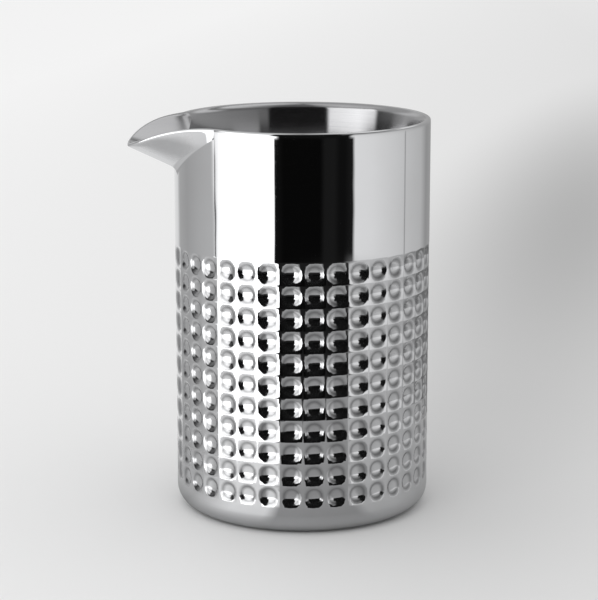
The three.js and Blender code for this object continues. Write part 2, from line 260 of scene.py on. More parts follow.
satin_steel, tree, shader, place = new_finish("satin_brushed_stainless_steel", {
    "Anisotropic": 1.0,
    "Anisotropic Rotation": 0.25,
})
around = add(tree, "Tangent", {"direction_type": "RADIAL", "axis": "Z"})
stretched = add(tree, "Mapping", {"Scale": GROOVE_STRETCH}, {"Vector": place})
grooves = add(
    tree, "TexNoise",
    {"Scale": per_mm(GROOVE_MM), "Detail": 3.0},
    {"Vector": stretched.outputs[0]},
)
patches = add(tree, "TexNoise", {"Scale": per_mm(PATCH_MM), "Detail": 2.0}, {"Vector": place})
mixed = add(tree, "Math", {"operation": "MULTIPLY"}, {0: grooves.outputs[0], 1: patches.outputs[0]})
rough = add(
    tree, "MapRange",
    {1: HAZE_LOW, 2: HAZE_HIGH, 3: SATIN_CLEAR, 4: SATIN_HAZY},
    {0: mixed.outputs[0]},
)
tint = add(
    tree, "Mix",
    {"data_type": "RGBA", 6: linear("#BDBDBE"), 7: linear("#B6B6B8")},
    {0: grooves.outputs[0]},
)
relief = add(
    tree, "Bump",
    {"Strength": GROOVE_STRENGTH, "Distance": GROOVE_DEPTH},
    {"Height": grooves.outputs[0]},
)
tree.links.new(around.outputs[0], shader.inputs["Tangent"])
tree.links.new(rough.outputs[0], shader.inputs["Roughness"])
tree.links.new(tint.outputs[2], shader.inputs["Base Color"])
tree.links.new(relief.outputs[0], shader.inputs["Normal"])
print("made", satin_steel.name)

# %% [markdown]
# ## The metals of the base
# The cover disc is turned on a lathe, which leaves rings round its middle: a pattern of the distance from
# the axis. The pan above it is plain rolled sheet. The seal is a bead of dark fused glass, and the getter
# a pill of pressed and sintered metal powder, so they are glossy and grainy in turn. Both are hidden
# inside the base. Each of the four has one pattern, which varies its colour and its roughness together.

# %% Turned, rolled, fused and sintered
RING_MM = 0.5
RING_RELIEF = (0.35, 0.03 * MM)
TURNED_ROUGHNESS = (0.24, 0.4)
ROLLING_MM = 1.2
ROLLING_STRETCH = (0.05, 1.0, 1.0)
ROLLED_ROUGHNESS = (0.3, 0.45)
FLOW_MM = 1.5
FUSED_ROUGHNESS = (0.06, 0.16)
SOLDER_GLASS_IOR = 1.6
POWDER_MM = 0.25
POWDER_RELIEF = (0.4, 0.05 * MM)
SINTERED_ROUGHNESS = (0.55, 0.75)


def dress(tree, shader, pattern, colours, roughness, relief=None):
    """Lets a pattern vary two colours and two roughnesses, and raise the metal by a strength and a depth."""
    tint = add(
        tree, "Mix",
        {"data_type": "RGBA", 6: linear(colours[0]), 7: linear(colours[1])},
        {0: pattern},
    )
    rough = add(tree, "MapRange", {3: roughness[0], 4: roughness[1]}, {0: pattern})
    tree.links.new(tint.outputs[2], shader.inputs["Base Color"])
    tree.links.new(rough.outputs[0], shader.inputs["Roughness"])
    if relief:
        bump = add(tree, "Bump", {"Strength": relief[0], "Distance": relief[1]}, {"Height": pattern})
        tree.links.new(bump.outputs[0], shader.inputs["Normal"])


turned_steel, tree, shader, place = new_finish("turned_stainless_steel", {})
flat_place = add(tree, "VectorMath", {"operation": "MULTIPLY", 1: (1.0, 1.0, 0.0)}, {0: place})
radius = add(tree, "VectorMath", {"operation": "LENGTH"}, {0: flat_place.outputs[0]})
rings = add(
    tree, "TexNoise",
    {"noise_dimensions": "1D", "Scale": per_mm(RING_MM), "Detail": 3.0},
    {"W": radius.outputs[1]},
)
dress(tree, shader, rings.outputs[0], ("#B0B1B3", "#A2A3A5"), TURNED_ROUGHNESS, RING_RELIEF)

rolled_steel, tree, shader, place = new_finish("rolled_stainless_steel", {})
stretched = add(tree, "Mapping", {"Scale": ROLLING_STRETCH}, {"Vector": place})
streaks = add(
    tree, "TexNoise",
    {"Scale": per_mm(ROLLING_MM), "Detail": 4.0},
    {"Vector": stretched.outputs[0]},
)
dress(tree, shader, streaks.outputs[0], ("#AEAFB0", "#9C9D9F"), ROLLED_ROUGHNESS)

fused_glass, tree, shader, place = new_finish("fused_solder_glass", {
    "Metallic": 0.0,
    "IOR": SOLDER_GLASS_IOR,
})
flow = add(tree, "TexNoise", {"Scale": per_mm(FLOW_MM), "Detail": 3.0}, {"Vector": place})
dress(tree, shader, flow.outputs[0], ("#54575E", "#6A6E76"), FUSED_ROUGHNESS)

sintered_metal, tree, shader, place = new_finish("sintered_metal_powder", {})
grains = add(tree, "TexVoronoi", {"Scale": per_mm(POWDER_MM)}, {"Vector": place})
dress(tree, shader, grains.outputs[0], ("#77777C", "#8C8C90"), SINTERED_ROUGHNESS, POWDER_RELIEF)

CARRIED = {"base_cap": rolled_steel, "port_seal": fused_glass, "getter": sintered_metal}
for node_name, finish in CARRIED.items():
    node_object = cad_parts[node_name]
    node_object.data.materials.clear()
    node_object.data.materials.append(finish)
print("gave a finish to", ", ".join(CARRIED))

# %% [markdown]
# ## Helpers for shapes
# Everything here is turned round one axis, so places are given as a radius, an angle and a height. The
# angle is nought at the spout. A ring of open edges can be pulled out again and again, each time to a new
# radius and height, which is how the wall grows up from the dimples and over the rim.

# %% Places, arcs and rings
WELD = 0.001 * MM
SHARP = radians(32)


def polar(radius, angle, height):
    return Vector((-radius * cos(angle), -radius * sin(angle), height))


def angle_of(place):
    return atan2(-place.y, -place.x)


def arc(centre, radius, start, end, steps):
    """Points (radius, height) on an arc in a section through the axis, both ends included."""
    turns = [start + (end - start) * step / steps for step in range(steps + 1)]
    return [(centre[0] + radius * cos(turn), centre[1] + radius * sin(turn)) for turn in turns]


def between(start, end, steps):
    """The points that divide a straight line into equal steps, without its ends."""
    across = end[0] - start[0]
    up = end[1] - start[1]
    return [(start[0] + across * step / steps, start[1] + up * step / steps) for step in range(1, steps)]


def pull(mesh, edges, put):
    """Extrudes a ring of edges, moves each new corner to where put says, and gives the new ring."""
    grown = bmesh.ops.extrude_edge_only(mesh, edges=edges)["geom"]
    fresh = {item for item in grown if isinstance(item, bmesh.types.BMVert)}
    for corner in fresh:
        corner.co = put(corner.co)
    return [item for item in grown if isinstance(item, bmesh.types.BMEdge) and fresh.issuperset(item.verts)]


def turn_section(section, steps):
    """Spins a section through the axis into a whole turned piece."""
    mesh = bmesh.new()
    corners = [mesh.verts.new(polar(radius, 0, height)) for radius, height in section]
    edges = [mesh.edges.new(pair) for pair in zip(corners, corners[1:])]
    bmesh.ops.spin(
        mesh, geom=corners + edges, cent=(0, 0, 0), axis=(0, 0, 1), dvec=(0, 0, 0),
        angle=2 * pi, steps=steps, use_merge=True,
    )
    bmesh.ops.remove_doubles(mesh, verts=mesh.verts, dist=WELD)
    return mesh


def finish_piece(mesh, name, finishes, node_name):
    """Closes a mesh, shades it, and puts it in the scene in place of its CAD node."""
    bmesh.ops.remove_doubles(mesh, verts=mesh.verts, dist=WELD)
    bmesh.ops.recalc_face_normals(mesh, faces=mesh.faces)
    for face in mesh.faces:
        face.smooth = True
    for edge in mesh.edges:
        edge.smooth = edge.is_manifold and edge.calc_face_angle() < SHARP
    open_edges = sum(1 for edge in mesh.edges if not edge.is_manifold)
    data = bpy.data.meshes.new(name)
    mesh.to_mesh(data)
    mesh.free()
    for finish in finishes:
        data.materials.append(finish)
    piece = bpy.data.objects.new(name, data)
    bpy.context.scene.collection.objects.link(piece)
    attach(piece, "root")
    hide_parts(node_name)
    data.calc_loop_triangles()
    print(f"{name}: {len(data.loop_triangles)} triangles, {open_edges} open edges")


print("edges sharper than", degrees(SHARP), "degrees stay crisp")

# %% [markdown]
# ## How the spout meets the walls
# The spout is a pinched sheet. A share of 0 is its middle and 1 or -1 are its two sides, where it runs
# out into the rim. Its lip reaches out and drops towards the tip. Straight lines run from the lip down to
# a V on each wall, and the V is highest at the sides. These functions give the V and the section at any
# share. A weld bead that was ground smooth leaves a small hollow curve at the outer root, largest under
# the keel.

# %% The spout's form
TIP_SHARPNESS = 1.5
FLARE = 1.75
TIP_DROP = 7 * MM
SPOUT_ROOT = 16.5 * MM
CHANNEL_ROOT = 14 * MM
CREASE_END = 3.5 * MM
TIP_ROLL = 0.5 * MM
HOLLOW_KEEL = 4 * MM
HOLLOW_SIDE = 0.8 * MM
EDGE_STEPS = 5
ROLL_STEPS = 9
HOLLOW_STEPS = 8
RULE_STEPS = 6
TUCK = 1.5 * MM
TUCK_START = 0.4 * MM
TUCK_POINTS = 2
SKIN = 0.03 * MM
LEAN_START = HEIGHT - 2.2 * MM
LEAN_RADIUS = 25 * MM


def leaning(radius, angle, height):
    """A place on the wall, which leans in a little over its last few millimetres."""
    return polar(radius - max(0, height - LEAN_START) ** 2 / (2 * LEAN_RADIUS), angle, height)


def root_height(share, depth, end):
    """The height at which the spout meets a wall, from how deep its notch is in the middle and at the end."""
    return HEIGHT - end - (depth - end) * (1 - abs(share))


def outer_root(share):
    return root_height(share, SPOUT_ROOT, CREASE_END)


def inner_root(share):
    return root_height(share, CHANNEL_ROOT, HEIGHT - CUP_TOP)


def cup_radius(height):
    """The inside of the cup where it leans out towards the rim, in a very slight curve."""
    share = (height - CUP_LEAN_END) / CUP_LEAN_HEIGHT
    return MOUTH - (CUP_TOP - height) * tan(CUP_LEAN) - 4 * CUP_BULGE * share * (1 - share)


def facing(root, centre, radius, side):
    """The angle at which the straight line from a root touches a round: side is -1 outside and 1 inside."""
    across = centre[0] - root[0]
    up = centre[1] - root[1]
    return atan2(up, across) + side * (asin(min(1, radius / hypot(across, up))) + pi / 2)


def lip_rounds(crest, edge_radius, roll_radius, outer_face, inner_face):
    """The tight outer edge of a lip, up to its crest, and the wider roll that goes down inside."""
    edge = arc((crest[0], crest[1] - edge_radius), edge_radius, outer_face, pi / 2, EDGE_STEPS)
    return edge + arc((crest[0], crest[1] - roll_radius), roll_radius, pi / 2, inner_face, ROLL_STEPS)[1:]


def spout_section(share):
    """One closed section of the spout, from behind the outer wall over the lip to behind the cup."""
    out = (1 - abs(share) ** TIP_SHARPNESS) ** FLARE
    roll = ROLL + (TIP_ROLL - ROLL) * out
    crest = (WALL + SPOUT_REACH * out - EDGE, HEIGHT - TIP_DROP * out ** 2)
    outer = (WALL, outer_root(share))
    inner = (cup_radius(inner_root(share)), inner_root(share))
    outer_face = facing(outer, (crest[0], crest[1] - EDGE), EDGE, -1)
    inner_face = facing(inner, (crest[0], crest[1] - roll), roll, 1)
    slope = outer_face + pi / 2
    hollow = HOLLOW_SIDE + (HOLLOW_KEEL - HOLLOW_SIDE) * (1 - abs(share)) ** 2
    foot = outer[1] - hollow * tan(pi / 4 - slope / 2)
    curve = arc((WALL + hollow, foot), hollow, pi, pi / 2 + slope, HOLLOW_STEPS)
    lip = lip_rounds(crest, EDGE, roll, outer_face, inner_face)
    start = [(WALL - TUCK_START, foot - TUCK), (WALL - SKIN, foot - TUCK_START)]
    end = [inner, (inner[0] + SKIN, inner[1] - TUCK_START), (inner[0] + TUCK_START, inner[1] - TUCK)]
    outside = curve + between(curve[-1], lip[0], RULE_STEPS)
    inside = between(lip[-1], inner, RULE_STEPS)
    return start + outside + lip + inside + end + start[:1]


CREST_ROW = TUCK_POINTS + HOLLOW_STEPS + RULE_STEPS + EDGE_STEPS
print(f"a section of the spout has {len(spout_section(0.0))} points")

# %% [markdown]
# ## The dimpled shell
# The real shell is a tube with its dimples pressed in by a tool, one row after another. The same order
# works here. A flat grid has one face for each dimple. Cutting each edge into four gives every face
# sixteen corners, so that insets can turn the square into rings, each with a power that makes it square
# (a large number) or round (2). Each ring sinks by the depth of the bowl at its distance from the middle,
# and each floor lies a degree or so out of true, as the press leaves it. Then the sheet is rolled round
# the axis.

# %% Press the dimples into a flat sheet
COLUMNS = 36
COLUMN_PITCH = 2 * pi * WALL / COLUMNS
SIDE_CUTS = 3
CORNER_TURN = 2 * pi / (4 * (SIDE_CUTS + 1))
DIMPLE_RINGS_MM = ((3.72, 2.5), (3.2, 2.2), (2.5, 2.0), (1.65, 2.0))
BOWL_FLOOR = 1.4 * MM
BOWL_MOUTH = 4.05 * MM
INSET = 0.1 * MM
TILT = radians(1.2)
PRESS_SEED = 36


def bowl(reach):
    """How deep a dimple is at a distance from its middle: a flat floor, and a wall like a wave."""
    share = min(1, max(0, (reach - BOWL_FLOOR) / (BOWL_MOUTH - BOWL_FLOOR)))
    return DIMPLE_DEPTH * (1 + cos(pi * share)) / 2


skin = bmesh.new()
bmesh.ops.create_grid(skin, x_segments=COLUMNS, y_segments=ROWS, size=0.5)
bmesh.ops.scale(skin, vec=(COLUMNS * COLUMN_PITCH, ROWS * ROW_PITCH, 1), verts=skin.verts)
bmesh.ops.translate(skin, vec=(COLUMN_PITCH / 2, FIELD_MIDDLE, 0), verts=skin.verts)
bmesh.ops.bisect_edges(skin, edges=skin.edges, cuts=SIDE_CUTS)
cells = skin.faces[:]
middles = [cell.calc_center_bounds() for cell in cells]
press = random.Random(PRESS_SEED)
tilts = [(press.uniform(-TILT, TILT), press.uniform(-TILT, TILT)) for cell in cells]
for reach, power in DIMPLE_RINGS_MM:
    bmesh.ops.inset_individual(skin, faces=cells, thickness=INSET)
    sink = bowl(reach * MM)
    for cell, middle, (side_tilt, rise_tilt) in zip(cells, middles, tilts):
        for corner in cell.verts:
            away = corner.co - middle
            way = round(atan2(away.y, away.x) / CORNER_TURN) * CORNER_TURN
            spread = reach * MM / (abs(cos(way)) ** power + abs(sin(way)) ** power) ** (1 / power)
            slant = spread * (cos(way) * side_tilt + sin(way) * rise_tilt) * sink / DIMPLE_DEPTH
            corner.co = middle + Vector((spread * cos(way), spread * sin(way), slant - sink))
for corner in bmesh.ops.poke(skin, faces=cells)["verts"]:
    corner.co.z = -bowl(0)
print(f"{len(cells)} dimples, {len(skin.faces)} faces")

# %% Roll the sheet round the axis
for corner in skin.verts:
    corner.co = polar(WALL + corner.co.z, corner.co.x / WALL, corner.co.y)
bmesh.ops.remove_doubles(skin, verts=skin.verts, dist=WELD)
open_ring = [edge for edge in skin.edges if edge.is_boundary]
top_ring = [edge for edge in open_ring if edge.verts[0].co.z > FIELD_MIDDLE]
bottom_ring = [edge for edge in open_ring if edge.verts[0].co.z < FIELD_MIDDLE]
print(f"rings of {len(top_ring)} and {len(bottom_ring)} edges to pull on")

# %% [markdown]
# Above the dimples the wall is plain. It goes up to the rim, over it in a half round and a short way down
# inside, or, within the spout's angle, only up to the V of the notch. The columns near the notch shift a
# little so that one stands exactly at its side. Below the dimples the wall turns in to the flat foot.
# Inside, the sheet comes back down to the foot and closes.

# %% Grow the wall up, over the rim and back down inside
NOTCH_COLUMN = radians(30)
SIDE_COLUMN = radians(32.5)
SLIVER = radians(0.02)
EASE_END = radians(60)
STEP = 0.4 * MM
LEAN_STEPS = 3
BASE_CORNER = 7 * MM
BASE_STEPS = 8
FOOT_WIDTH = 5 * MM
FOOT_INSIDE = WALL - BASE_CORNER - FOOT_WIDTH
BACKING = 1.4 * MM


def eased(angle):
    """Shifts the columns beside the spout, so that one of them stands exactly at each side of the notch."""
    size = abs(angle)
    if size >= EASE_END:
        return angle
    if size < SIDE_COLUMN - SLIVER:
        return angle * (SPOUT_HALF - SLIVER) / NOTCH_COLUMN
    share = max(0, (size - SIDE_COLUMN) / (EASE_END - SIDE_COLUMN))
    return copysign(SPOUT_HALF + share * (EASE_END - SPOUT_HALF), angle)


def rows_above(angle):
    """The wall's section above the dimples at one angle."""
    lean_height = HEIGHT - EDGE - LEAN_START
    lean = [(WALL, LEAN_START + lean_height * step / LEAN_STEPS) for step in range(LEAN_STEPS)]
    under = arc((WALL - EDGE, HEIGHT - ROLL), ROLL - SHEET, pi - CUP_LEAN, pi / 2, ROLL_STEPS)
    under += [(WALL - SHEET, CUP_TOP)]
    over = lean + lip_rounds((WALL - EDGE, HEIGHT), EDGE, ROLL, 0, pi - CUP_LEAN) + under
    if abs(angle) < SPOUT_HALF - SLIVER / 2:
        top = outer_root(abs(angle) / SPOUT_HALF)
        over = [(WALL, top)] * (len(over) - len(under)) + [(WALL - SHEET, top)] * len(under)
    back = [(WALL - SHEET, FIELD_TOP + STEP), (WALL - BACKING, FIELD_TOP), (WALL - BACKING, FIELD_BOTTOM)]
    corner = arc((WALL - BASE_CORNER, BASE_CORNER), BASE_CORNER - SHEET, 0, -pi / 2, BASE_STEPS)
    return over + back + corner + [(FOOT_INSIDE, SHEET)]


def step_up(place):
    return polar(WALL, eased(angle_of(place)), FIELD_TOP + STEP)


def row_place(place, row):
    radius, height = rows_above(angle_of(place))[row]
    return leaning(radius, angle_of(place), height)


ring = pull(skin, top_ring, step_up)
for row in range(len(rows_above(pi))):
    ring = pull(skin, ring, lambda place: row_place(place, row))
print(f"{len(rows_above(pi))} rows from the dimples over the rim to the foot")

# %% Grow the wall down to the foot and close it
HEM = 0.25 * MM

rows_below = arc((WALL - BASE_CORNER, BASE_CORNER), BASE_CORNER, 0, -pi / 2, BASE_STEPS)
rows_below += [(FOOT_INSIDE + HEM, 0), (FOOT_INSIDE, HEM), (FOOT_INSIDE, SHEET)]
ring = bottom_ring
for radius, height in [(WALL, FIELD_BOTTOM - STEP)] + rows_below:
    ring = pull(skin, ring, lambda place: polar(radius, angle_of(place), height))
for face in skin.faces:
    middle = face.calc_center_median()
    if middle.z > CUP_TOP and hypot(middle.x, middle.y) < WALL - EDGE - SHEET:
        face.material_index = 1
finish_piece(skin, "dimpled_shell", [polished_steel, satin_steel], "outer_shell")

# %% [markdown]
# ## The spout
# One sheet of faces is bent into shape: each row across it is one section of the spout, and the sections
# stand closer together near the tip, where the lip turns quickly. The sheet's long edges meet behind the
# walls, and its two ends are closed inside the rim.

# %% Bend the spout
SPOUT_STATIONS = 72
TIP_CROWDING = 1.5

beak = bmesh.new()
rows = len(spout_section(0.0)) - 1
bmesh.ops.create_grid(beak, x_segments=SPOUT_STATIONS, y_segments=rows, size=1.0)
for face in beak.faces:
    if (face.calc_center_median().y + 1) / 2 * rows > CREST_ROW:
        face.material_index = 1
for corner in beak.verts:
    share = copysign(abs(corner.co.x) ** TIP_CROWDING, corner.co.x)
    radius, height = spout_section(share)[round((corner.co.y + 1) / 2 * rows)]
    corner.co = leaning(radius, share * SPOUT_HALF, height)
bmesh.ops.remove_doubles(beak, verts=beak.verts, dist=WELD)
bmesh.ops.holes_fill(beak, edges=[edge for edge in beak.edges if edge.is_boundary], sides=0)
finish_piece(beak, "spout_skin", [polished_steel, satin_steel], "pouring_spout")

# %% [markdown]
# ## The satin cup
# The cup is spun from sheet, so here it is a section turned round the axis. Its top edge meets the rolled
# rim, and within the spout's angle the flare is drawn down to the V where the channel starts.

# %% Spin the cup
CUP_STEPS = 144
CORNER_STEPS = 10
BEND_STEPS = 6
FLARE_STEPS = 6
CUP_CORNER = 10 * MM
CUP_FLOOR = liner_low.z + SHEET

corner_centre = (CUP_WALL - CUP_CORNER, CUP_FLOOR + CUP_CORNER)
bend_centre = (CUP_WALL + CUP_BEND, CUP_LEAN_END - CUP_BEND * sin(CUP_LEAN))
flare = [CUP_LEAN_END + CUP_LEAN_HEIGHT * step / FLARE_STEPS for step in range(1, FLARE_STEPS + 1)]
inside = arc(corner_centre, CUP_CORNER, -pi / 2, 0, CORNER_STEPS)
inside += arc(bend_centre, CUP_BEND, pi, pi - CUP_LEAN, BEND_STEPS)
inside += [(cup_radius(height), height) for height in flare]
outside = [(cup_radius(height) + SHEET, height) for height in reversed(flare)]
outside += arc(bend_centre, CUP_BEND - SHEET, pi - CUP_LEAN, pi, BEND_STEPS)
outside += arc(corner_centre, CUP_CORNER + SHEET, 0, -pi / 2, CORNER_STEPS)
cup = turn_section([(0, CUP_FLOOR)] + inside + outside + [(0, CUP_FLOOR - SHEET)], CUP_STEPS)
for corner in cup.verts:
    if corner.co.z > CUP_LEAN_END + WELD:
        angle = eased(angle_of(corner.co))
        top = inner_root(min(1, abs(angle) / SPOUT_HALF))
        back = hypot(corner.co.x, corner.co.y) - cup_radius(corner.co.z)
        share = (corner.co.z - CUP_LEAN_END) / CUP_LEAN_HEIGHT
        height = CUP_LEAN_END + share * (top - CUP_LEAN_END)
        corner.co = polar(cup_radius(height) + back, angle, height)
finish_piece(cup, "satin_cup", [satin_steel], "inner_liner")

# %% [markdown]
# ## The cover under the base
# A turned disc with softened edges lies flush inside the foot. It is spun from its section too, with a
# round at each edge and a shallow dish that keeps its middle off the table.

# %% Spin the cover
COVER_STEPS = 96
COVER_ROUND = 0.3 * MM
ROUND_STEPS = 4
DISH_START = 24 * MM
DISH_SLOPE = 2 * MM
DISH_DEPTH = 0.25 * MM

round_middle = cover_high.x - COVER_ROUND
section = [(0, DISH_DEPTH), (DISH_START - DISH_SLOPE, DISH_DEPTH), (DISH_START, cover_low.z)]
section += arc((round_middle, cover_low.z + COVER_ROUND), COVER_ROUND, -pi / 2, 0, ROUND_STEPS)
section += arc((round_middle, cover_high.z - COVER_ROUND), COVER_ROUND, 0, pi / 2, ROUND_STEPS)
section += [(0, cover_high.z)]
cover = turn_section(section, COVER_STEPS)
finish_piece(cover, "turned_cover", [turned_steel], "base_cover")

# %% [markdown]
# ## The floor
# A sheet of pale matt paper, far larger than the view, so that its edge never shows.

# %% Lay the paper
FLOOR_RADIUS = 9.0
FLOOR_CORNERS = 96
FLOOR_DROP = 0.05 * MM

sheet = bmesh.new()
bmesh.ops.create_circle(sheet, cap_ends=True, segments=FLOOR_CORNERS, radius=FLOOR_RADIUS)
bmesh.ops.translate(sheet, vec=(0, 0, -FLOOR_DROP), verts=sheet.verts)
floor_data = bpy.data.meshes.new("paper_floor")
sheet.to_mesh(floor_data)
sheet.free()
floor = bpy.data.objects.new("paper_floor", floor_data)
bpy.context.scene.collection.objects.link(floor)
print("floor", FLOOR_RADIUS * 2, "m across")

# %% [markdown]
# The camera sees paper with painted light and a painted shadow in its colour: lighter to the left and the
# back, and a broad soft painted shadow behind the vessel, to the right. The painted shadow is a long soft
# spot that slants away from the camera. The paper and the world both turn their places so that Y points
# away from the camera, which one helper does for them.

# %% The paper as the camera sees it
BACK_START = -0.2
BACK_END = 2.4
BACK_LIGHT = 0.55
LEFT_START = 0.35
LEFT_END = -0.35
LEFT_LIGHT = 0.75
SHADE_RIGHT = 0.062
SHADE_BEHIND = 0.58
SHADE_WIDTH = 0.11
SHADE_LENGTH = 0.8
SHADE_EDGE = 1.2
SHADE_SLANT = radians(10.6)
SHADE_LEVEL = 0.6


def turn_to_camera(tree, vector, slant=0.0):
    """Turns a place or a direction so that Y points away from the camera and X to its right."""
    settings = {"rotation_type": "Z_AXIS", "Angle": slant - CAMERA_AZIMUTH}
    return add(tree, "VectorRotate", settings, {"Vector": vector}).outputs[0]


paper = bpy.data.materials.new("matt_paper")
paper.use_nodes = True
tree = paper.node_tree
tree.nodes.clear()
place = add(tree, "TexCoord", {}).outputs["Object"]
turned_place = turn_to_camera(tree, place)
axes = add(tree, "SeparateXYZ", {}, {0: turned_place})
back = add(tree, "MapRange", {1: BACK_START, 2: BACK_END, 3: 0.0, 4: BACK_LIGHT}, {0: axes.outputs["Y"]})
left = add(tree, "MapRange", {1: LEFT_START, 2: LEFT_END, 3: 0.0, 4: LEFT_LIGHT}, {0: axes.outputs["X"]})
light_side = add(tree, "Math", {"operation": "ADD"}, {0: back.outputs[0], 1: left.outputs[0]})
# Painted light: the paper's colour grows lighter to the left and the back.
painted_light_paper = add(
    tree, "Mix",
    {"data_type": "RGBA", 6: linear("#D7D7D7"), 7: linear("#F8F8F8")},
    {0: light_side.outputs[0]},
)
# Painted shadow: a long soft darker spot behind the vessel, to the right.
shade_scale = (1 / SHADE_WIDTH, 1 / SHADE_LENGTH, 0)
shade_middle = (-SHADE_RIGHT / SHADE_WIDTH, -SHADE_BEHIND / SHADE_LENGTH, 0)
slanted = turn_to_camera(tree, place, SHADE_SLANT)
spot = add(tree, "Mapping", {"Location": shade_middle, "Scale": shade_scale}, {"Vector": slanted})
spot_distance = add(tree, "VectorMath", {"operation": "LENGTH"}, {0: spot.outputs[0]})
painted_shadow_level = add(
    tree, "MapRange",
    {1: 0.0, 2: SHADE_EDGE, 3: SHADE_LEVEL, 4: 1.0, "interpolation_type": "SMOOTHSTEP"},
    {0: spot_distance.outputs[1]},
)
paper_with_painted_shadow = add(
    tree, "Mix",
    {"data_type": "RGBA", "blend_type": "MULTIPLY", 0: 1.0},
    {6: painted_light_paper.outputs[2], 7: painted_shadow_level.outputs[0]},
)
print(f"a shade {SHADE_BEHIND} m behind the vessel")

# %% [markdown]
# A mirror shows what stands round it, and close to the vessel that is this paper. Its colour for mirror
# rays is painted light and shade in two rings of greys, one at the foot and one further out: brightest to
# the left, where the softbox lights the paper, and greyer in front and to the right. Beyond a circle, whose
# middle lies a little to the right and in front of the vessel, a studio has dark and bright panels instead,
# so a mirror ray that meets the paper there goes on to the world, which holds those panels. Each grey
# stands at a bearing in degrees, with 0 towards the camera and negative bearings to its left.

# %% The paper as the mirror sees it
FOOT_ZONE = 18 * MM
MIRROR_NEAR = 0.135
MIRROR_FAR = 0.185
MIRROR_MIDDLE = (0.049, -0.034, 0)
# Painted light and shade of the paper near the vessel, as a mirror shows it, at the foot and further out.
PAINTED_PAPER_LIGHT_AT_FOOT = (
    (-180, 0.5), (-80, 0.36), (-60, 0.48), (-45, 0.5), (-28, 0.52), (-15, 0.46),
    (33, 0.44), (60, 0.44), (90, 0.4), (180, 0.45),
)
PAINTED_PAPER_LIGHT_FURTHER = (
    (-180, 0.5), (-80, 0.55), (-60, 0.8), (-45, 0.98), (-22, 0.94), (-14, 0.36),
    (33, 0.34), (41, 0.52), (60, 0.52), (90, 0.45), (180, 0.45),
)


def way_round(tree, axes):
    """How far round from behind the vessel a place lies, from 0 to 1: a half is towards the camera."""
    toward = add(tree, "Math", {"operation": "MULTIPLY", 1: -1.0}, {0: axes.outputs["Y"]})
    bearing = add(tree, "Math", {"operation": "ARCTAN2"}, {0: axes.outputs["X"], 1: toward.outputs[0]})
    return add(tree, "MapRange", {1: -pi, 2: pi}, {0: bearing.outputs[0]}).outputs[0]


def greys_round(tree, around, levels):
    """A ring of greys that goes all the way round, from a list of bearings and levels."""
    ramp = add(tree, "ValToRGB", {}, {0: around})
    stops = ramp.color_ramp.elements
    while len(stops) < len(levels):
        stops.new(1.0)
    for stop, (bearing, level) in zip(stops, levels):
        stop.position = (bearing + 180) / 360
        stop.color = (level, level, level, 1)
    return ramp.outputs[0]


around = way_round(tree, axes)
painted_light_at_foot = greys_round(tree, around, PAINTED_PAPER_LIGHT_AT_FOOT)
painted_light_further = greys_round(tree, around, PAINTED_PAPER_LIGHT_FURTHER)
distance = add(tree, "VectorMath", {"operation": "LENGTH"}, {0: place})
out_of_foot = add(tree, "MapRange", {1: WALL, 2: WALL + FOOT_ZONE}, {0: distance.outputs[1]})
painted_mirror_greys = add(tree, "Mix", {"data_type": "RGBA"}, {0: out_of_foot.outputs[0], 6: painted_light_at_foot, 7: painted_light_further})
rays = add(tree, "LightPath", {})
colour = add(
    tree, "Mix",
    {"data_type": "RGBA"},
    {0: rays.outputs["Is Glossy Ray"], 6: paper_with_painted_shadow.outputs[2], 7: painted_mirror_greys.outputs[2]},
)
matt = add(tree, "BsdfDiffuse", {}, {"Color": colour.outputs[2]})
from_middle = add(tree, "VectorMath", {"operation": "DISTANCE", 1: MIRROR_MIDDLE}, {0: turned_place})
far = add(
    tree, "MapRange",
    {1: MIRROR_NEAR, 2: MIRROR_FAR, "interpolation_type": "SMOOTHSTEP"},
    {0: from_middle.outputs[1]},
)
passing = add(tree, "Math", {"operation": "MULTIPLY"}, {0: far.outputs[0], 1: rays.outputs["Is Glossy Ray"]})
clear = add(tree, "BsdfTransparent", {})
surface = add(tree, "MixShader", {}, {0: passing.outputs[0], 1: matt.outputs[0], 2: clear.outputs[0]})
add(tree, "OutputMaterial", {}, {"Surface": surface.outputs[0]})
floor_data.materials.append(paper)
print(f"the mirror shows the paper out to {MIRROR_FAR} m")

# %% [markdown]
# ## The studio round it
# The mirror of the vessel shows a studio: going round from the camera's direction, a white panel to its
# left, darkness in front, pale walls to its right, and a ceiling over all. Each ring of greys goes all
# the way round at one height. From below to above they are what the upper walls of the dimples show, the
# strips between the dimples, the plain wall, the top of the wall just under the rim, the floors and lower
# walls of the dimples and the inside of the cup in three rings, a dark seam, and the ceiling.

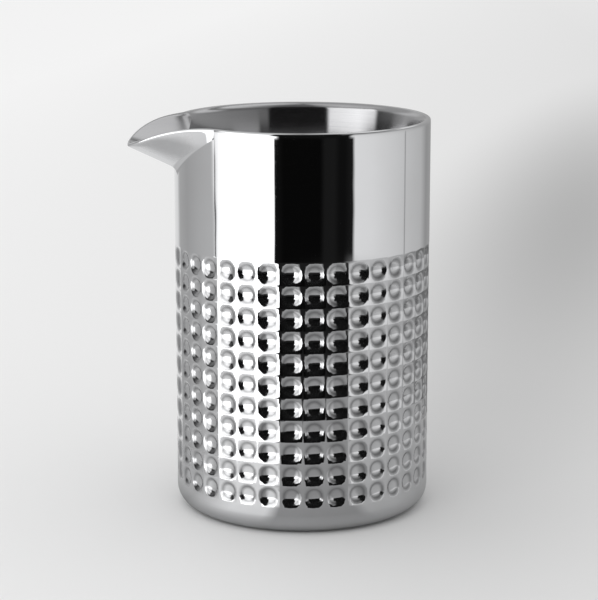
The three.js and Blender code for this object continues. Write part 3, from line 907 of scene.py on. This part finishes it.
# %% Greys of the studio
PANELS_BELOW = (
    (-180, 0.85), (-150, 0.8), (-140, 0.6), (-100, 0.64), (-80, 0.8), (-50, 0.85), (-25, 0.8),
    (-22, 0.45), (30, 0.45), (45, 0.6), (100, 0.6), (140, 0.5), (180, 0.5),
)
PANELS_FIELD = (
    (-180, 0.85), (-150, 0.8), (-143, 0.46), (-125, 0.42), (-105, 0.5), (-84, 0.58), (-82.2, 2.4),
    (-25.2, 2.4), (-24, 0.015), (37, 0.015), (52, 0.64), (65, 0.6), (103, 0.45), (118, 0.3),
    (132, 0.2), (146, 0.14), (180, 0.3),
)
PANELS_LOW = (
    (-180, 0.85), (-150, 0.8), (-143, 0.46), (-125, 0.42), (-105, 0.5), (-87.3, 0.55), (-86.6, 1.4),
    (-84.3, 1.4), (-83.9, 0.01), (-82.1, 0.01), (-81.7, 1.2), (-78, 1.5), (-74, 2.4), (-25.2, 2.4),
    (-24, 0.008), (-16, 0.003), (16, 0.003), (20, 0.012), (28, 0.012), (33, 0.006), (38, 0.006),
    (45.8, 0.014), (47, 0.9), (65, 0.87), (103, 0.68), (104.2, 0.3), (105.4, 0.66), (132, 0.56),
    (146, 0.34), (180, 0.36),
)
PANELS_RIM = (
    (-180, 0.6), (-150, 0.65), (-125, 0.46), (-105, 0.5), (-87, 0.6), (-80, 1.2), (-74, 2.2),
    (-23.5, 2.2), (-20.5, 0.006), (41.5, 0.008), (44.5, 0.9), (65, 0.8), (103, 0.6), (140, 0.4),
    (180, 0.4),
)
PANELS_LEVEL = (
    (-180, 0.4), (-150, 0.5), (-125, 0.5), (-112, 0.25), (-102, 0.05), (-84, 0.03), (-80, 0.6),
    (-62, 1.5), (-29, 1.3), (-26, 0.006), (44, 0.008), (47, 0.5), (106, 0.45), (140, 0.4), (180, 0.4),
)
PANELS_HIGH = (
    (-180, 0.5), (-150, 0.75), (-125, 0.8), (-112, 0.6), (-102, 0.3), (-84, 0.1), (-80, 1.5),
    (-60, 1.9), (-29, 1.5), (-26, 0.006), (34, 0.008), (37, 0.25), (70, 0.3), (106, 0.35),
    (140, 0.45), (180, 0.45),
)
PANELS_UPPER = (
    (-180, 0.5), (-105, 0.5), (-89, 0.4), (-85, 1.9), (-29, 1.6), (-26, 0.01), (33, 0.01),
    (40, 0.16), (85, 0.2), (110, 0.8), (140, 0.95), (180, 0.5),
)
SEAM = (
    (-180, 0.5), (-105, 0.5), (-85, 0.25), (-29, 0.22), (-26, 0.02), (33, 0.02), (40, 0.2),
    (106, 0.3), (180, 0.35),
)
CEILING = (
    (-180, 0.45), (-93, 0.8), (-60, 0.8), (-27, 0.45), (-15, 0.18), (30, 0.18), (60, 0.4),
    (100, 0.9), (150, 1.0), (180, 0.45),
)
RINGS_ABOVE = (
    (PANELS_FIELD, -26, -20),
    (PANELS_LOW, -12.2, -11),
    (PANELS_RIM, -7, -3),
    (PANELS_LEVEL, -1, 4),
    (PANELS_HIGH, 9, 18),
    (PANELS_UPPER, 24, 30),
    (SEAM, 38, 41),
    (CEILING, 45, 50),
)
print(f"{len(RINGS_ABOVE) + 1} rings of greys, {len(PANELS_LOW)} stops in the one that the plain wall shows")

# %% [markdown]
# The world has three jobs. The camera sees a pale backdrop. The paper is lit by an even soft light. The
# mirror shows the rings above, and between two angles over the horizon each ring goes over into the next.

# %% World
BACKDROP = "#F0F0F0"
SOFT_LIGHT = 0.95

world = bpy.data.worlds.new("studio")
bpy.context.scene.world = world
world.use_nodes = True
tree = world.node_tree
tree.nodes.clear()
way = add(tree, "TexCoord", {}).outputs["Generated"]
axes = add(tree, "SeparateXYZ", {}, {0: turn_to_camera(tree, way)})
around = way_round(tree, axes)
rise = add(tree, "Math", {"operation": "ARCSINE"}, {0: axes.outputs["Z"]})
studio = greys_round(tree, around, PANELS_BELOW)
for levels, start, end in RINGS_ABOVE:
    upper = greys_round(tree, around, levels)
    share = add(tree, "MapRange", {1: radians(start), 2: radians(end)}, {0: rise.outputs[0]})
    studio = add(tree, "Mix", {"data_type": "RGBA"}, {0: share.outputs[0], 6: studio, 7: upper}).outputs[2]
rays = add(tree, "LightPath", {})
soft = add(
    tree, "Mix",
    {"data_type": "RGBA", 6: [SOFT_LIGHT] * 3 + [1]},
    {0: rays.outputs["Is Glossy Ray"], 7: studio},
)
seen = add(
    tree, "Mix",
    {"data_type": "RGBA", 7: linear(BACKDROP)},
    {0: rays.outputs["Is Camera Ray"], 6: soft.outputs[2]},
)
light = add(tree, "Background", {"Strength": 1.0}, {"Color": seen.outputs[2]})
add(tree, "OutputWorld", {}, {"Surface": light.outputs[0]})
print("world", world.name, "with a backdrop of", BACKDROP)

# %% [markdown]
# ## A lamp from the front left
# One large softbox to the camera's left gives the floor a soft shadow behind the vessel, to the right,
# deepened by the painted shadow in the paper's colour.
# The mirror already shows the white panel of the world there, so the lamp itself is kept out of
# reflections.

# %% Softbox
LAMP_POWER = 2.0
LAMP_SIZE = 0.7
LAMP_PLACE = Vector((-0.66, -0.7, 0.75))
LAMP_AIM = Vector((0, 0, 0.05))

softbox_light = bpy.data.lights.new("softbox", "AREA")
softbox_light.energy = LAMP_POWER
softbox_light.size = LAMP_SIZE
softbox = bpy.data.objects.new("softbox", softbox_light)
softbox.location = LAMP_PLACE
softbox.rotation_euler = (LAMP_AIM - LAMP_PLACE).to_track_quat("-Z", "Y").to_euler()
softbox.visible_glossy = False
bpy.context.scene.collection.objects.link(softbox)
bpy.context.scene.view_settings.view_transform = "Standard"
print("softbox of", LAMP_POWER, "W")
